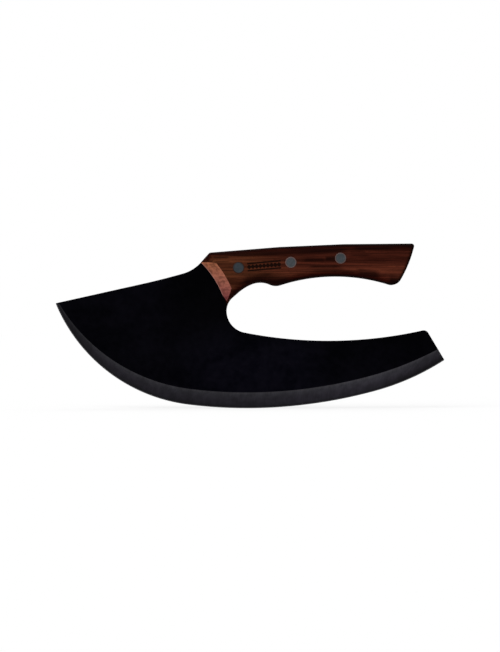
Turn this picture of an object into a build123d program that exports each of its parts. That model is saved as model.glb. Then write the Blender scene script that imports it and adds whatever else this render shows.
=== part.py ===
from build123d import *
from build123d.topology import SkipClean
import os
from math import cos, degrees, radians, sin

# Kitchen cleaver with a full tang: one sheet of steel is both blade and tang, two
# wooden scales lie on the tang, and three compression rivets hold them.
#
# Frame: X runs from the tip to the butt, Y across the thickness, Z up, with the
# cutting edge down. The origin lies in the middle of the sheet, halfway between
# tip and heel, at the height where the edge touches a flat board. The left side
# of the tool faces -Y. Lengths are in millimetres, angles in degrees.
#
# Every outline is drawn flat, with x along the tool and y up its height, and the
# thickness is built in z. The finished pieces are stood up just before export.

# Blade
sharp_length = 254.6          # tip to heel, before their corners are rounded
sheet_thickness = 2.5         # blade and tang
tip_height = 68.7             # tip above the lowest point of the edge
heel_height = 31.55           # lower corner of the heel
point_radius = 0.45           # rounding of tip and lower heel corner
heel_end_width = 23.2         # straight end of the heel
heel_end_angle = 59.1         # slope of that end
heel_top_radius = 3.4

# Cutting edge: a belly of two flat arcs, then a tighter arc to the tip
low_point_x = -2.2            # where the edge touches a flat board
front_belly_radius = 311.0
front_belly_end_angle = 7.06  # rise of the edge where this arc ends
rear_belly_radius = 319.0
rear_belly_end_angle = 15.4

# Grinding: a wide flat bevel, and a narrow honed one along the very edge
bevel_width = 10.3            # over the belly
tip_bevel_width = 1.9
heel_bevel_width = 8.3
hone_width = 0.65
hone_thickness = 0.6          # sheet left where the honed bevel starts
edge_thickness = 0.14
grind_rise = 0.3              # height that the grinding cutter starts above the sheet

# Underside of the grip, forwards from the highest point of the palm swell. Each end
# angle is the fall of the outline, going forwards, where that arc ends.
palm_x = 56.0
palm_height = 86.15
palm_radius = 116.6
palm_end_angle = 18.0
guard_radius = 9.8            # bump in front of the palm
guard_end_angle = -24.1
recess_radius = 15.1          # finger recess
recess_end_angle = 22.6
tail_radius = 31.4
tail_end_angle = 41.1
tail_length = 4.9             # straight on from there

# Hook of the blade round the front of the hand gap
hook_upper_radius = 11.7
hook_upper_end_angle = 91.1
hook_radius = 14.4
hook_end_angle = 168.8

# Handle corners, shared by the tang and both scales, and measured from the palm swell
handle_front_x = -26.45
handle_front_rise = 15.6
butt_top_x = 107.6
butt_top_rise = 21.55
butt_low_x = 95.4
butt_low_drop = 6.85
top_crown = 1.65              # rise of the handle's top over its chord, in three straights
crown_front_share = 0.34      # where along the chord the first two meet
crown_rear_share = 0.65       # and the last two
crown_radius = 500.0          # easing between them
butt_crown = 1.47
handle_front_radius = 2.0
butt_top_radius = 1.75
butt_low_radius = 6.7

# Front slope and shoulder, down from the handle to the straight spine
slope_angle = 47.9
slope_length = 8.6
shoulder_radius = 24.7
shoulder_end_angle = 15.9
shoulder_run_radius = 480.0
shoulder_run_end_angle = 12.5

# Wooden scales
scale_thickness = 8.0
long_round_radius = 4.5       # rolled edge along top, slope and underside
butt_round_radius = 1.6       # eased edge round the butt
front_arc_radius = 62.0       # hollow front end of the wood, on the tang
front_arc_inset = 0.05        # upper end of that arc, up the slope from its foot
front_arc_reach = 8.6         # lower end, round the hook from the straight tail
front_bevel_width = 7.2       # sloped end grain, from the tang to the outer face

# Facets at the ends of that slope. Each rises from a point on the tang to two points
# of the outer face. The upper one starts at the arc's upper end and ends just behind
# the handle's front corner, and the lower one takes in the end of the tail.
high_facet_x = -21.8          # where it meets the end grain's border
high_facet_rise = 8.45
high_facet_set_back = 0.8     # its other end, behind the front corner
low_facet_x = -12.05          # where it meets the end grain's border
low_facet_drop = 7.7
low_facet_start_x = -15.95    # its point on the tang
low_facet_start_drop = 18.15

# Rivets, with their rise over the palm swell
front_rivet_x = -7.5
front_rivet_rise = 5.7
middle_rivet_x = 26.65
middle_rivet_rise = 9.15
rear_rivet_x = 59.1
rear_rivet_rise = 11.9
rivet_head_diameter = 7.4
rivet_head_thickness = 2.0
rivet_head_chamfer = 0.2
post_diameter = 3.0
post_reach = 5.0              # shank beyond the middle of the sheet
post_nose = 0.5
sleeve_diameter = 4.8
sleeve_reach = 4.5            # tube beyond the middle of the sheet
rivet_clearance = 0.05        # round head, tube and shank

# Room that cutters run past what they cut
overrun = 12.0


def along(point, direction, length):
    """Point at a length from another in a direction."""
    return Vector(point) + Vector(direction).normalized() * length


def heading(angle):
    """Unit vector at an angle from +x."""
    return Vector(cos(radians(angle)), sin(radians(angle)))


def rounded(face, corners):
    """Face with each named corner rounded by its own radius."""
    for point, radius in corners:
        corner = face.vertices().sort_by_distance(point)[0]
        face = face.fillet_2d(radius, [corner])
    return face


def run_on(arc, side):
    """Arc that runs on past its end on the same circle, turning left for side 1."""
    turn = (arc % 0).get_angle(arc % 1) + degrees(overrun / arc.radius)
    return JernArc(arc @ 0, arc % 0, arc.radius, side * turn)


def bend(before, radius, end_angle):
    """Arc that goes on from a line, forwards, until it falls at an angle."""
    turn = (before % 1).get_signed_angle(heading(180 + end_angle), Vector(0, 0, 1))
    return JernArc(before @ 1, before % 1, radius, turn)


def closed_face(lines):
    """Face inside a closed run of lines and arcs."""
    edges = [edge for line in lines for edge in line.edges()]
    return make_face(Wire(edges)).face()


tip = Vector(-sharp_length / 2, tip_height)
heel = Vector(sharp_length / 2, heel_height)
heel_top = along(heel, heading(180 - heel_end_angle), heel_end_width)
palm_top = Vector(palm_x, palm_height)
handle_front = Vector(handle_front_x, palm_height + handle_front_rise)
butt_top = Vector(butt_top_x, palm_height + butt_top_rise)
butt_low = Vector(butt_low_x, palm_height - butt_low_drop)
rivet_places = {
    "front": (front_rivet_x, palm_height + front_rivet_rise),
    "middle": (middle_rivet_x, palm_height + middle_rivet_rise),
    "rear": (rear_rivet_x, palm_height + rear_rivet_rise),
}


# Outline pieces

def shoulder():
    """Front slope of the handle and the hollow shoulder that runs into the spine."""
    slope_foot = along(handle_front, heading(180 + slope_angle), slope_length)
    slope = Line(handle_front, slope_foot)
    hollow = bend(slope, shoulder_radius, shoulder_end_angle)
    run = bend(hollow, shoulder_run_radius, shoulder_run_end_angle)
    return slope, hollow, run


def underside():
    """Palm swell, guard bump, finger recess and tail, going forwards."""
    palm = JernArc(palm_top, (-1, 0), palm_radius, palm_end_angle)
    guard = bend(palm, guard_radius, guard_end_angle)
    recess = bend(guard, recess_radius, recess_end_angle)
    tail = bend(recess, tail_radius, tail_end_angle)
    straight = Line(tail @ 1, along(tail @ 1, tail % 1, tail_length))
    return palm, guard, recess, tail, straight


def hook(start):
    """Inner curve of the blade, round the front of the hand gap."""
    upper = bend(start, hook_upper_radius, hook_upper_end_angle)
    lower = bend(upper, hook_radius, hook_end_angle)
    return upper, lower


def handle_top():
    """Top of the handle: three straights, eased into each other, that make a low crown."""
    chord = butt_top - handle_front
    rise = chord.normalized().rotate(Axis.Z, 90) * top_crown
    corners = [handle_front + chord * share + rise for share in (crown_front_share, crown_rear_share)]
    return FilletPolyline(handle_front, *corners, butt_top, radius=crown_radius)


def palm_rear():
    """Underside behind the palm swell's highest point."""
    return TangentArc(palm_top, butt_low, tangent=(1, 0))


def handle_back():
    """Handle top, butt, and the underside up to the palm swell's highest point."""
    butt = SagittaArc(butt_top, butt_low, butt_crown)
    return handle_top(), butt, palm_rear()


def edge_arcs(belly_inset, tip_end, heel_end):
    """Tip to heel: the edge, or a line that lies inside it by the inset."""
    low = Vector(low_point_x, belly_inset)
    front_belly = JernArc(low, (-1, 0), front_belly_radius - belly_inset, -front_belly_end_angle)
    rear_belly = JernArc(low, (1, 0), rear_belly_radius - belly_inset, rear_belly_end_angle)
    front = TangentArc(front_belly @ 1, tip_end, tangent=front_belly % 1)
    rear = TangentArc(rear_belly @ 1, heel_end, tangent=rear_belly % 1)
    return front, front_belly, rear_belly, rear


def neck_line():
    """Straight line across the neck, under the wood's front end."""
    _, hollow, _ = shoulder()
    hook_upper, _ = hook(underside()[-1])
    return Line(hook_upper @ 1, hollow @ 1)


def handle_outline(back):
    """Face of tang or scale, with given lines behind, closed by the neck line."""
    slope, hollow, _ = shoulder()
    grip = underside()
    hook_upper, _ = hook(grip[-1])
    return closed_face([hollow, slope, *back, *grip, hook_upper, neck_line()])


front_corner = [(handle_front, handle_front_radius)]
butt_corners = [(butt_low, butt_low_radius), (butt_top, butt_top_radius)]
blade_corners = [(tip, point_radius), (heel, point_radius), (heel_top, heel_top_radius)]


# Blade

def blade_outline():
    """Outline of the one sheet, blade and tang together."""
    slope, hollow, run = shoulder()
    grip = underside()
    hook_upper, hook_lower = hook(grip[-1])
    back = TangentArc(hook_lower @ 1, heel_top, tangent=hook_lower % 1)
    spine = Line(run @ 1, tip)
    heel_line = Line(heel, heel_top)
    lines = [spine, *edge_arcs(0, tip, heel), heel_line, back, hook_lower, hook_upper]
    lines += [*grip, *handle_back(), slope, hollow, run]
    return rounded(closed_face(lines), blade_corners + front_corner + butt_corners)


def grind_section(height, belly_inset, tip_inset, heel_inset):
    """Wire round everything outside the blade at one level of its thickness."""
    front, _, _, rear = edge_arcs(0, tip, heel)
    tip_end = along(tip, (front % 1).rotate(Axis.Z, -90), tip_inset)
    heel_end = along(heel, (rear % 1).rotate(Axis.Z, 90), heel_inset)
    front, front_belly, rear_belly, rear = edge_arcs(belly_inset, tip_end, heel_end)
    front = run_on(front, -1)
    rear = run_on(rear, 1)
    far_left = Vector(tip.X - 2 * overrun, -overrun)
    far_right = Vector(heel.X + 2 * overrun, -overrun)
    outer = Polyline(rear @ 1, far_right, far_left, front @ 1)
    edges = [line.edge() for line in (front, front_belly, rear_belly, rear)]
    return Pos(0, 0, height) * Wire([*edges, *outer.edges()])


def grind_cutter():
    """What grinding takes away: both flat bevels and both honed ones."""
    half = sheet_thickness / 2
    hone_half = hone_thickness / 2
    past_share = grind_rise / (half - hone_half)
    hone = [hone_width, hone_width, hone_width]
    border = [bevel_width, tip_bevel_width, heel_bevel_width]
    past = [wide + (wide - narrow) * past_share for wide, narrow in zip(border, hone)]
    levels = [
        (half + grind_rise, past),
        (hone_half, hone),
        (edge_thickness / 2, [0, 0, 0]),
    ]
    sections = [grind_section(height, *insets) for height, insets in levels]
    mirrored = [grind_section(-height, *insets) for height, insets in reversed(levels)]
    return Solid.make_loft(sections + mirrored, ruled=True)


def blade():
    """Sheet with its ground edge and three holes, its flats parted along the neck line.

    The parting leaves the blade's flat a face of its own, which a magnetic rack holds.
    """
    tang = rounded(handle_outline(handle_back()), front_corner + butt_corners)
    hole = Cylinder(sleeve_diameter / 2 + rivet_clearance, sheet_thickness + overrun)
    with SkipClean():
        outlines = [tang, blade_outline() - tang]
        halves = [extrude(face, sheet_thickness / 2, dir=(0, 0, 1), both=True) for face in outlines]
        sheet = halves[0] + halves[1]
        for place in rivet_places.values():
            sheet -= Pos(*place) * hole
        return sheet - grind_cutter()


# Scales

def board(outline, round_radius, closings):
    """Wooden board with its outer edges rolled over, apart from those over closing lines."""
    blank = extrude(outline, scale_thickness, dir=(0, 0, 1)).solid()
    edges = blank.faces().sort_by(Axis.Z)[-1].edges()
    outer = Pos(0, 0, scale_thickness)
    closed = [edges.sort_by_distance((outer * line) @ 0.5)[0] for line in closings]
    return blank.fillet(round_radius, [edge for edge in edges if edge not in closed])


def long_board():
    """Board that runs on past the butt, so that only its long edges are rolled."""
    top = handle_top()
    low = palm_rear()
    top_run = Line(butt_top, along(butt_top, top % 1, overrun))
    low_run = Line(butt_low, along(butt_low, low % 1, overrun))
    end = Line(top_run @ 1, low_run @ 1)
    outline = handle_outline([top, top_run, end, low_run, low])
    return board(rounded(outline, front_corner), long_round_radius, [neck_line(), end])


def butt_board():
    """Board with the true butt, and the small rounding that the butt has."""
    outline = rounded(handle_outline(handle_back()), front_corner + butt_corners)
    return board(outline, butt_round_radius, [neck_line()])


def front_arc():
    """Front end of the wood where it meets the tang, from the slope to the hook."""
    slope, _, _ = shoulder()
    hook_upper, _ = hook(underside()[-1])
    high = along(slope @ 1, -(slope % 1), front_arc_inset)
    low = hook_upper @ (front_arc_reach / hook_upper.length)
    return RadiusArc(high, low, front_arc_radius)


def front_cutter():
    """Cone that hollows the front end and slopes it back from the tang."""
    centre = front_arc().arc_center
    flare = front_bevel_width / scale_thickness * overrun
    low_radius = front_arc_radius - flare
    high_radius = front_arc_radius + front_bevel_width + flare
    cone = Cone(low_radius, high_radius, scale_thickness + 2 * overrun)
    return Pos(centre.X, centre.Y, scale_thickness / 2) * cone


def facet_plane(on_tang, first, second):
    """Plane through a point on the tang and two on the outer face, facing outwards."""
    outer = Vector(0, 0, scale_thickness)
    sides = [point + outer - on_tang for point in (first, second)]
    return Plane(origin=on_tang, x_dir=sides[0], z_dir=sides[0].cross(sides[1]))


def front_facets():
    """Planes of the facets at the upper and lower end of the sloped end grain."""
    high = Vector(high_facet_x, palm_height + high_facet_rise)
    low = Vector(low_facet_x, palm_height - low_facet_drop)
    low_start = Vector(low_facet_start_x, palm_height - low_facet_start_drop)
    tail_end = underside()[-1] @ 0
    high_end = handle_front + Vector(high_facet_set_back, 0)
    high_plane = facet_plane(front_arc() @ 0, high, high_end)
    low_plane = facet_plane(low_start, tail_end, low)
    return high_plane, low_plane


def scale():
    """Left scale, with its flat inner face on z = 0."""
    wood = (long_board() & butt_board()) - front_cutter()
    for plane in front_facets():
        wood = split(wood, bisect_by=plane, keep=Keep.BOTTOM)
    tube_hole = Cylinder(sleeve_diameter / 2 + rivet_clearance, 2 * (scale_thickness + overrun))
    head_pocket = Cylinder(rivet_head_diameter / 2 + rivet_clearance, 2 * rivet_head_thickness)
    for place in rivet_places.values():
        wood -= Pos(*place) * tube_hole
        wood -= Pos(*place, scale_thickness) * head_pocket
    return wood


# Rivets, each about its own axis, with z = 0 in the middle of the sheet

def rivet_head():
    """Disc that ends flush with the outer face of a scale, its rim broken."""
    face_height = sheet_thickness / 2 + scale_thickness
    disc = Cylinder(rivet_head_diameter / 2, rivet_head_thickness)
    disc = chamfer(disc.edges().sort_by(Axis.Z)[-1], rivet_head_chamfer)
    return Pos(0, 0, face_height - rivet_head_thickness / 2) * disc


def shank(radius, reach):
    """Round bar from under the head to its reach past the middle of the sheet."""
    top = sheet_thickness / 2 + scale_thickness - rivet_head_thickness
    return Pos(0, 0, (top - reach) / 2) * Cylinder(radius, top + reach)


def rivet_post():
    """Half with a solid shank, its head on the left."""
    bar = shank(post_diameter / 2, post_reach)
    bar = chamfer(bar.edges().sort_by(Axis.Z)[0], post_nose)
    return rivet_head() + bar


def rivet_sleeve():
    """Half with a tube round the shank, its head on the right."""
    tube = shank(sleeve_diameter / 2, sleeve_reach)
    tube -= shank(post_diameter / 2 + rivet_clearance, sleeve_reach)
    return mirror(rivet_head() + tube, about=Plane.XY)


# Pieces, stood up on the cutting edge

left_scale = Pos(0, 0, sheet_thickness / 2) * scale()
pieces = {
    "blade": blade(),
    "left_scale": left_scale,
    "right_scale": mirror(left_scale, about=Plane.XY),
}
for rivet, place in rivet_places.items():
    pieces[f"{rivet}_rivet_post"] = Pos(*place) * rivet_post()
    pieces[f"{rivet}_rivet_sleeve"] = Pos(*place) * rivet_sleeve()

os.makedirs("parts", exist_ok=True)
for name, piece in pieces.items():
    export_step(Rot(90, 0, 0) * piece, f"parts/{name}.step")
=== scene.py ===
from functools import partial, reduce
from math import radians

import bmesh
import bpy
import numpy as np
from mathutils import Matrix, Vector


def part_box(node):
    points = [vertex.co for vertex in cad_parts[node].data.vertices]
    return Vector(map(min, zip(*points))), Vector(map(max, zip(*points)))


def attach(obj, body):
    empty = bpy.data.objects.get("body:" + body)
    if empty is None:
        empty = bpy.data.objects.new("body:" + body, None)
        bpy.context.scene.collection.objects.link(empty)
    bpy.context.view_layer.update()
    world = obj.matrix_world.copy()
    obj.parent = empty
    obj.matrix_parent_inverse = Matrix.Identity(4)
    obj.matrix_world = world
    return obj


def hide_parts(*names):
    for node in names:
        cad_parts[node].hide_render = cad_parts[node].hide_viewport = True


# Kitchen cleaver: black coated blade, two hardwood scales, three flush rivets.
# Metres, as in the frame: X from tip to butt, -Y towards the camera, Z up.
mm = 0.001
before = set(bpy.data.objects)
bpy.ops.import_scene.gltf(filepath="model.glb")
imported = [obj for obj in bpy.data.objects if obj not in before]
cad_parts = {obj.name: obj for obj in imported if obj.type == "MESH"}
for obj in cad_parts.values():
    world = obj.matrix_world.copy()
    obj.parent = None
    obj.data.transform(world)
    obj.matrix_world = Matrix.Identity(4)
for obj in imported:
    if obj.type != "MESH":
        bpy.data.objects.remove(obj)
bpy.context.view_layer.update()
print("frame loaded")


# Mesh tools

def newMesh(name, points, faces):
    mesh = bpy.data.meshes.new(name)
    mesh.from_pydata(np.asarray(points).tolist(), [], faces)
    return mesh


def newObject(name, data):
    # Object at the origin, in the scene
    made = bpy.data.objects.new(name, data)
    bpy.context.scene.collection.objects.link(made)
    return made


def addFloat(mesh, name, values):
    layer = mesh.attributes.new(name, "FLOAT", "POINT")
    layer.data.foreach_set("value", np.asarray(values, np.float32))


def rowsOf(*columns):
    return np.stack(columns, axis=-1).reshape(-1, len(columns))


def gridFaces(index):
    # Quads between the neighbours of a grid of point numbers
    return rowsOf(index[:-1, :-1], index[1:, :-1], index[1:, 1:], index[:-1, 1:])


def surfaceMesh(name, points, faces, values):
    # Mesh from points and values in mm: points that fall together are joined, normals turn outwards
    mesh = newMesh(name, points * mm, faces)
    for key, value in values.items():
        addFloat(mesh, key, value * mm)
    work = bmesh.new()
    work.from_mesh(mesh)
    bmesh.ops.remove_doubles(work, verts=work.verts, dist=fit["joinDistance"] * mm)
    bmesh.ops.recalc_face_normals(work, faces=work.faces)
    work.to_mesh(mesh)
    work.free()
    return mesh


def finishPiece(name, mesh, materials):
    # Smooth shading up to an angle, materials in order, riding on the one body
    for material in materials:
        mesh.materials.append(material)
    mesh.polygons.foreach_set("use_smooth", np.ones(len(mesh.polygons), bool))
    mesh.set_sharp_from_angle(angle=radians(fit["smoothAngle"]))
    piece = newObject(name, mesh)
    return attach(piece, "root")


def lathe(profile, centre, side, steps=96):
    # Points and faces of a profile (radius, height) carried round an axis along Y;
    # both ends of the profile lie on the axis
    turns = np.arange(steps) * 2 * np.pi / steps
    radii, heights = np.asarray(profile)[1:-1].T[..., None]
    ringX = centre[0] + radii * np.cos(turns)
    ringZ = centre[1] + radii * np.sin(turns)
    ringY = np.repeat(side * heights, steps, axis=1)
    rings = rowsOf(ringX, ringY, ringZ)
    ends = np.array([[centre[0], side * profile[end][1], centre[1]] for end in (0, -1)])
    rows = len(radii)
    grid = np.arange(rows * steps).reshape(rows, steps)
    after = np.roll(grid, -1, axis=1)
    quads = rowsOf(grid[:-1], after[:-1], after[1:], grid[1:])
    first = rowsOf(np.full(steps, rows * steps), after[0], grid[0])
    last = rowsOf(np.full(steps, rows * steps + 1), grid[-1], after[-1])
    faces = [*quads.tolist(), *first.tolist(), *last.tolist()]
    if side < 0:
        faces = [face[::-1] for face in faces]
    return np.concatenate([rings, ends]), faces


def rivetAxis(place):
    # X and Z of a rivet's axis, in the middle of its post's box
    low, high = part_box(f"{place}_rivet_post")
    return (low.x + high.x) / 2, (low.z + high.z) / 2


def punched(mesh, profile, side):
    # The mesh with a turned profile, in mm, taken out of it about each rivet's axis
    points, faces = [], []
    for place in ("front", "middle", "rear"):
        ring, around = lathe(np.array(profile) * mm, rivetAxis(place), side)
        faces += [[corner + len(ring) * len(points) for corner in face] for face in around]
        points.append(ring)
    punch = newObject("punch", newMesh("punch", np.concatenate(points), faces))
    sheet = newObject("sheet", mesh)
    cut = sheet.modifiers.new("holes", "BOOLEAN")
    cut.operation, cut.solver, cut.object = "DIFFERENCE", "EXACT", punch
    evaluated = sheet.evaluated_get(bpy.context.evaluated_depsgraph_get())
    result = bpy.data.meshes.new_from_object(evaluated)
    for made in (punch, sheet):
        bpy.data.objects.remove(made)
    return result


# Material tools: nodes are added to the tree in hand

inHand = {}


def takeInHand(owner):
    # A new material or world, whose nodes come next
    owner.use_nodes = True
    inHand.update(owner=owner, tree=owner.node_tree)
    return owner.node_tree.nodes


def newMaterial(name):
    return takeInHand(bpy.data.materials.new(name))


def connect(target, inputs):
    # Inputs are numbers, colours or other nodes' outputs
    for key, value in inputs.items():
        if isinstance(value, bpy.types.NodeSocket):
            inHand["tree"].links.new(value, target.inputs[key])
        else:
            target.inputs[key].default_value = value


def node(kind, inputs=None, output=0, **settings):
    # Output of one new node; settings are its own values
    made = inHand["tree"].nodes.new("ShaderNode" + kind)
    for key, value in settings.items():
        setattr(made, key, value)
    connect(made, inputs or {})
    return made.outputs[output]


def objectPlace():
    return node("TexCoord", output="Object")


def split(vector):
    # X, Y and Z of a vector
    return node("SeparateXYZ", {0: vector}).node.outputs


def stored(name):
    # Value that the mesh holds under a name
    return node("Attribute", output="Fac", attribute_name=name)


def noise(vector, detail, roughness, distortion=0.0):
    return node("TexNoise", {"Vector": vector, "Scale": 1, "Detail": detail,
                             "Roughness": roughness, "Distortion": distortion}, "Fac")


def grain(stretch, detail, roughness, distortion=0.0, turn=(0, 0, 0)):
    # Noise on object coordinates, turned and stretched
    inputs = {"Vector": objectPlace(), "Scale": stretch, "Rotation": turn}
    return noise(node("Mapping", inputs), detail, roughness, distortion)


def lineNoise(values, pitches, detail, roughness):
    # Noise on one or two values, each times its pitch
    scaled = {axis: times(value, pitch) for axis, value, pitch in zip("XY", values, pitches)}
    return noise(node("CombineXYZ", scaled), detail, roughness)


def math(operation, *values):
    return node("Math", dict(enumerate(values)), operation=operation)


plus = partial(math, "ADD")
minus = partial(math, "SUBTRACT")
times = partial(math, "MULTIPLY")
timesPlus = partial(math, "MULTIPLY_ADD")  # first times second, plus third
larger = partial(math, "MAXIMUM")
absolute = partial(math, "ABSOLUTE")


def blended(first, second, share):
    return plus(times(first, 1 - share), times(second, share))


def remap(value, low, high, toLow=0.0, toHigh=1.0, smooth=True):
    inputs = {"Value": value, "From Min": low, "From Max": high, "To Min": toLow, "To Max": toHigh}
    kind = "SMOOTHSTEP" if smooth else "LINEAR"
    return node("MapRange", inputs, interpolation_type=kind)


def ramp(value, stops):
    # Colour ramp with (place, colour) stops
    made = node("ValToRGB", {"Fac": value}, "Color")
    band = made.node.color_ramp
    while len(band.elements) < len(stops):
        band.elements.new(1.0)
    for element, (place, colour) in zip(band.elements, stops):
        element.position = place
        element.color = (*colour, 1)
    return made


def mixed(factor, first, second, blend="MIX"):
    first, second = [value if isinstance(value, bpy.types.NodeSocket) else (*value, 1)
                     for value in (first, second)]
    inputs = {0: factor, 6: first, 7: second}
    return node("Mix", inputs, 2, data_type="RGBA", blend_type=blend)


def tinted(colour, tint):
    return mixed(1.0, colour, tint, "MULTIPLY")


def multiplied(colour, gain):
    return tinted(colour, node("CombineColor", {"Red": gain, "Green": gain, "Blue": gain}))


def setShader(colour, roughness, height, relief, gloss=0.5, metallic=0.0):
    # Values of the material in hand; relief is the strength and the depth of its bumps
    strength, depth = relief
    bump = node("Bump", {"Height": height, "Strength": strength, "Distance": depth})
    connect(inHand["tree"].nodes["Principled BSDF"], {
        "Base Color": colour, "Roughness": roughness, "Specular IOR Level": gloss,
        "Metallic": metallic, "Normal": bump})
    return inHand["owner"]


def shade(colour):
    # Linear colour of an eight-bit one
    part = np.asarray(colour) / 255
    return tuple(np.where(part <= 0.04045, part / 12.92, ((part + 0.055) / 1.055) ** 2.4))


# Values that the pieces share, lengths in mm
fit = {
    "sheetHalf": 1.25,
    "joinDistance": 0.002,
    "smoothAngle": 32,  # degrees between faces that still shade as one
}


# Outline tools: points in the X-Z plane are complex numbers, in millimetres

def heading(angle):
    # Unit step at an angle in degrees
    return np.exp(1j * np.radians(angle))


def unit(step):
    return step / abs(step)


def arcOn(point, angles, radius):
    # Arc that leaves a point at the first angle and ends at the last: c - i r e^(i a)
    first, last = angles
    side = np.sign(last - first) * radius
    steps = heading(np.linspace(first, last, 2 + int(abs(last - first) * radius / 8)))
    centre = point + 1j * side * steps[0]
    return centre - 1j * side * steps


def lineTo(start, end, step=0.1):
    return start + (end - start) * np.linspace(0, 1, 2 + int(abs(end - start) / step))


def joined(*runs):
    # Runs of points put end to end, each leaving out the point that it shares
    return np.concatenate([runs[0], *[run[1:] for run in runs[1:]]])


def bentOn(point, angle, bends):
    # Arcs one after another, each given by its radius and the angle where it ends
    runs = []
    for radius, end in bends:
        runs.append(arcOn(point, (angle, end), radius))
        point, angle = runs[-1][-1], end
    return joined(*runs)


def tangentArc(start, angle, end):
    # Arc that leaves a point at an angle and passes through another point
    turn = np.degrees(np.angle((end - start) / heading(angle)))
    radius = abs(end - start) / (2 * np.sin(np.radians(abs(turn))))
    return arcOn(start, (angle, angle + 2 * turn), radius)


def crownedLine(start, end, crown):
    # Arc between two points that rises over their chord, to the left as it goes
    half = abs(end - start) / 2
    radius = (half ** 2 + crown ** 2) / (2 * abs(crown))
    turn = np.degrees(np.arcsin(half / radius)) * np.sign(crown)
    chord = np.degrees(np.angle(end - start))
    return arcOn(start, (chord + turn, chord - turn), radius)


def runLength(run):
    # Length of a run up to each of its points
    return np.concatenate([[0], np.cumsum(np.abs(np.diff(run)))])


def at(run, shares):
    # Points of a run at shares of its length
    length = runLength(run)
    place = length / length[-1]
    return np.interp(shares, place, run.real) + 1j * np.interp(shares, place, run.imag)


def finer(run, step=0.1):
    # Run resampled at even steps of its length
    return at(run, np.linspace(0, 1, 2 + int(runLength(run)[-1] / step)))


def roundedCorner(first, second, radius):
    # Two runs joined by an arc that touches both: its centre is where their offsets meet
    first, second = finer(first), finer(second)
    turn = np.angle((second[1] - second[0]) / (first[-1] - first[-2]))
    aside = 1j * np.sign(turn) * radius
    before, after = np.diff(first), np.diff(second)
    firstOffset = first[1:] + aside * before / np.abs(before)
    secondOffset = second[:-1] + aside * after / np.abs(after)
    gaps = np.abs(firstOffset[:, None] - secondOffset[None, :])
    i, j = np.unravel_index(np.argmin(gaps), gaps.shape)
    centre = (firstOffset[i] + secondOffset[j]) / 2
    arms = np.array([first[i + 1] - centre, second[j] - centre])
    shares = np.linspace(0, 1, 4 + int(radius * 4))
    swing = np.angle(arms[1] / arms[0])
    arc = centre + arms[0] / abs(arms[0]) * np.exp(1j * swing * shares) * (
        abs(arms[0]) + (abs(arms[1]) - abs(arms[0])) * shares)
    return np.concatenate([first[:i + 1], arc, second[j + 1:]])


def nearestIndex(run, point):
    return np.argmin(np.abs(run - point))


def distanceTo(points, run):
    # Shortest distance from each point to the straight pieces of a run
    start, piece = run[:-1], np.diff(run)
    flat = points.ravel()
    result = np.empty(len(flat))
    for part in np.array_split(np.arange(len(flat)), 1 + len(flat) // 2000):
        gap = flat[part, None] - start[None, :]
        share = np.clip((gap * piece.conj()).real / np.abs(piece) ** 2, 0, 1)
        result[part] = np.abs(gap - share * piece).min(axis=1)
    return result.reshape(points.shape)


def stations(length, firstStep, lastStep, fullStep, growth):
    # Shares from 0 to 1 whose steps grow from both ends up to a full step
    up = firstStep * growth ** np.arange(60)
    down = lastStep * growth ** np.arange(60)
    up, down = up[up < fullStep], down[down < fullStep][::-1]
    middle = np.full(int((length - up.sum() - down.sum()) / fullStep), fullStep)
    steps = np.concatenate([up, middle, down])
    return np.concatenate([[0], np.cumsum(steps)]) / steps.sum()


def coons(left, right, low, high, across, along):
    # Patch between four runs: the two blends of opposite runs, less the blend of the corners
    u, v = along[:, None], across[None, :]
    sides = (1 - u) * left[None, :] + u * right[None, :]
    ends = (1 - v) * low[:, None] + v * high[:, None]
    corners = (1 - u) * ((1 - v) * low[0] + v * high[0]) + u * ((1 - v) * low[-1] + v * high[-1])
    return sides + ends - corners


# Handle outline

handle = {
    "front": -26.45 + 101.75j,  # corners of the handle, before rounding
    "buttTop": 107.6 + 107.7j,
    "buttLow": 95.4 + 79.3j,
    "palmTop": 56.0 + 86.15j,  # highest point of the palm swell
    "cornerRadii": (2.0, 1.75, 6.7),
    "slopeAngle": 227.9,
    "slopeLength": 8.6,
    "crown": 1.65,  # rise of the top over its chord
    "crownShares": (0.34, 0.65),
    "buttCrown": 1.47,
    "underside": [(116.6, 198.0), (9.8, 155.9), (15.1, 202.6), (31.4, 221.1)],
    "tailLength": 4.9,
    "hookUpper": (11.7, 271.1),
}


def handleRuns():
    # Runs of the handle once round, slope to butt to hook, and where the grip's arcs end
    front, top, low = handle["front"], handle["buttTop"], handle["buttLow"]
    foot = front + handle["slopeLength"] * heading(handle["slopeAngle"])
    rise = 1j * unit(top - front) * handle["crown"]
    bends = [front + (top - front) * share + rise for share in handle["crownShares"]]
    rear = tangentArc(handle["palmTop"], 0, low)[::-1]
    grip = bentOn(handle["palmTop"], 180, handle["underside"])
    tailAngle = handle["underside"][-1][1]
    tail = grip[-1] + handle["tailLength"] * heading(tailAngle)
    hook = bentOn(tail, tailAngle, [handle["hookUpper"]])
    return {
        "slope": lineTo(foot, front),
        "crown": joined(*[lineTo(a, b) for a, b in zip([front, *bends], [*bends, top])]),
        "butt": crownedLine(top, low, handle["buttCrown"]),
        "under": joined(rear, grip, np.array([grip[-1], tail]), hook),
        "gripEnd": grip[-1],
        "hook": hook,
    }


def handleOutline():
    # Outline of the handle from the slope's foot round to the hook, parted at the butt's corners
    outline = handleRun["slope"]
    for key, radius in zip(("crown", "butt", "under"), handle["cornerRadii"]):
        outline = roundedCorner(outline, handleRun[key], radius)
    topCorner = nearestIndex(outline, handle["buttTop"])
    lowCorner = nearestIndex(outline, handle["buttLow"])
    return outline[:topCorner + 1], outline[topCorner:lowCorner + 1], outline[lowCorner:]


handleRun = handleRuns()
topRun, buttRun, underRun = handleOutline()


# Scales

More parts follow.
